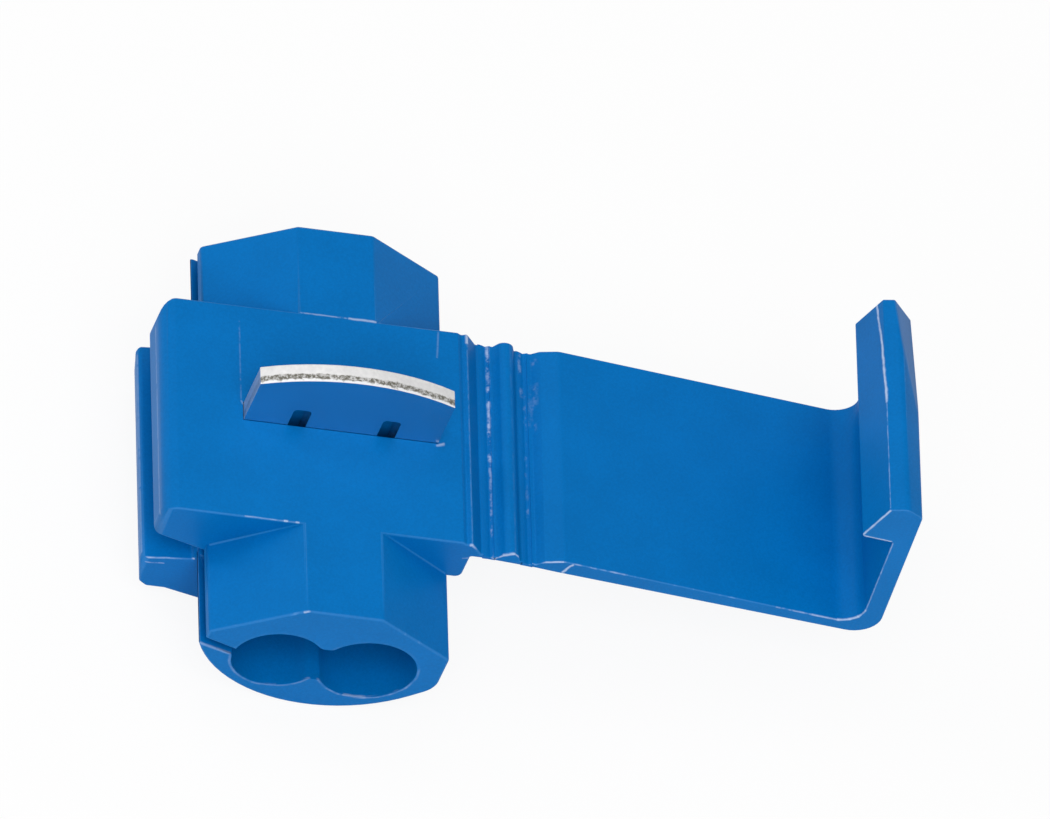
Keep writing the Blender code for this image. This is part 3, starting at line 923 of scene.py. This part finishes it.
def make_shear():
    tree, given, result = new_group(
        "stamped_edge",
        [("Place", "Vector", None), ("Ragged", "Float", 0.42)],
        [("Tear", "Float"), ("Burr", "Float"), ("Height", "Float")],
    )
    split = tree.nodes.new("ShaderNodeSeparateXYZ")
    put(split.inputs[0], given["Place"])
    half = BLADE_HALF_THICKNESS * MM
    depth = remap(tree, split.outputs["Y"], -half, half)
    ragged = noise_node(tree, given["Place"], 2400.0, 4.0, 0.7)["Fac"]
    ragged = math_node(tree, "SUBTRACT", ragged, 0.5)
    depth = math_node(tree, "MULTIPLY_ADD", ragged, given["Ragged"], depth)
    before = remap(tree, depth, *TEAR_BEGINS)
    after = remap(tree, depth, *TEAR_FADES)
    pits = noise_node(tree, given["Place"], 6500.0, 3.0, 0.7)["Fac"]
    pits = remap(tree, pits, 0.36, 0.6, 0.2, 1.0)
    tear = math_node(tree, "MULTIPLY", math_node(tree, "MULTIPLY", before, after), pits)
    put(result["Tear"], tear)
    put(result["Burr"], remap(tree, depth, *BURR_FADES))
    put(result["Height"], math_node(tree, "SUBTRACT", 1.0, tear))
    return tree


shear_group = make_shear()
print(shear_group.name)

# %% [markdown]
# ## Tinned contact material
#
# Tin is a soft grey metal, duller than nickel. Its broad faces mirror the blue plastic next to
# them. Its stamped edge scatters light, so it looks almost white. The value "cut" is stored on
# the faces of the stamped edge, and the material mixes the two by it.

# %% Material for the blade
TIN = (0.6, 0.64, 0.72, 1), (0.76, 0.79, 0.85, 1)
CUT_METAL = (0.5, 0.5, 0.51, 1), (0.88, 0.87, 0.86, 1)
TORN_METAL = (0.12, 0.115, 0.09, 1)
BURR = (0.8, 0.81, 0.83, 1)
TEAR_RELIEF = 0.01 * MM
TEAR_STRENGTH = 0.6


def make_tin():
    made = bpy.data.materials.new("tinned_contact")
    made.use_nodes = True
    tree = made.node_tree
    shader = tree.nodes["Principled BSDF"]
    place = tree.nodes.new("ShaderNodeTexCoord").outputs["Object"]
    cut = tree.nodes.new("ShaderNodeAttribute")
    cut.attribute_name = "cut"
    grain = use_group(tree, grain_group, Place=place, Fineness=5000.0)
    bands = use_group(tree, shear_group, Place=place)
    tear = math_node(tree, "MULTIPLY", bands["Tear"], cut.outputs["Fac"])
    burr = math_node(tree, "MULTIPLY", bands["Burr"], cut.outputs["Fac"])
    face = blend_colours(tree, grain["Tone"], *TIN)
    edge = blend_colours(tree, grain["Tone"], *CUT_METAL)
    colour = blend_colours(tree, cut.outputs["Fac"], face, edge)
    colour = blend_colours(tree, tear, colour, TORN_METAL)
    colour = blend_colours(tree, burr, colour, BURR)
    put(shader.inputs["Base Color"], colour)
    metallic = math_node(tree, "MULTIPLY_ADD", cut.outputs["Fac"], -0.55, 1.0)
    put(shader.inputs["Metallic"], metallic)
    rough = math_node(tree, "MULTIPLY_ADD", cut.outputs["Fac"], 0.3, 0.2)
    put(shader.inputs["Roughness"], rough)
    bump = tree.nodes.new("ShaderNodeBump")
    put(bump.inputs["Strength"], TEAR_STRENGTH)
    put(bump.inputs["Distance"], TEAR_RELIEF)
    relief = math_node(tree, "MULTIPLY_ADD", grain["Height"], 0.3, bands["Height"])
    put(bump.inputs["Height"], relief)
    put(shader.inputs["Normal"], bump.outputs["Normal"])
    return made


tinned_contact = make_tin()
print(tinned_contact.name)

# %% [markdown]
# ## Contact blade
#
# The arched blade stands proud until pliers press it home, and its two slots bite through both
# wires' insulation. Its stamped edge isn't straight. We draw two lines along the arched edge,
# split them into short lengths, and move the torn line a little, each point by its own noise.

# %% Blade with a torn, burred edge
TEAR_CUTS = 7
TORN_LINE = -0.14
BURR_LINE = -0.34
TORN_DEPTH = 0.07
TORN_HALF = 4.2
BLADE_SHOULDER = 9.5
END_FACE = 4
END_CUT = 0.4
BLADE_RADIUS = 0.06


def cut_across(skin, line):
    everything = skin.verts[:] + skin.edges[:] + skin.faces[:]
    place = (0, line * MM, 0)
    bmesh.ops.bisect_plane(skin, geom=everything, plane_co=place, plane_no=(0, 1, 0))


def on_line(vert, line):
    return vert.co.z > BLADE_SHOULDER * MM and abs(vert.co.y - line * MM) < WELD


def tear_edge(skin):
    """Roughens the band between the burr and the burnished metal along the arched edge."""
    for line in (TORN_LINE, BURR_LINE):
        cut_across(skin, line)
        rows = [edge for edge in skin.edges if all(on_line(vert, line) for vert in edge.verts)]
        bmesh.ops.subdivide_edges(skin, edges=rows, cuts=TEAR_CUTS)
    for vert in skin.verts:
        if on_line(vert, TORN_LINE) and abs(vert.co.x) < TORN_HALF * MM:
            x = vert.co.x / MM
            shake = noise.noise(Vector((x * 3.1, 0, 7))) + 0.5 * noise.noise(Vector((x * 9, 0, 3)))
            vert.co.y += TORN_DEPTH * shake * MM
            vert.co.z -= TORN_DEPTH * (0.5 + 0.5 * abs(shake)) * MM


def mark_cut(skin):
    """Marks the arched edge fully and the two end faces partly; the slots stay as smooth metal."""
    layer = skin.faces.layers.float.new("cut")
    for face in skin.faces:
        at_end = abs(face.normal.x) > 0.7 and abs(face.calc_center_median().x) > END_FACE * MM
        face[layer] = 1 if face.normal.z > 0.5 else END_CUT * at_end


skin = welded_copy("contact_blade")
round_edges(skin, corners(skin, 1, lambda point: point.y > 0), BLADE_RADIUS)
tear_edge(skin)
skin.normal_update()
mark_cut(skin)
blade = finished("contact_blade_skin", skin, tinned_contact)
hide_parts("contact_blade")
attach(blade, "blade")
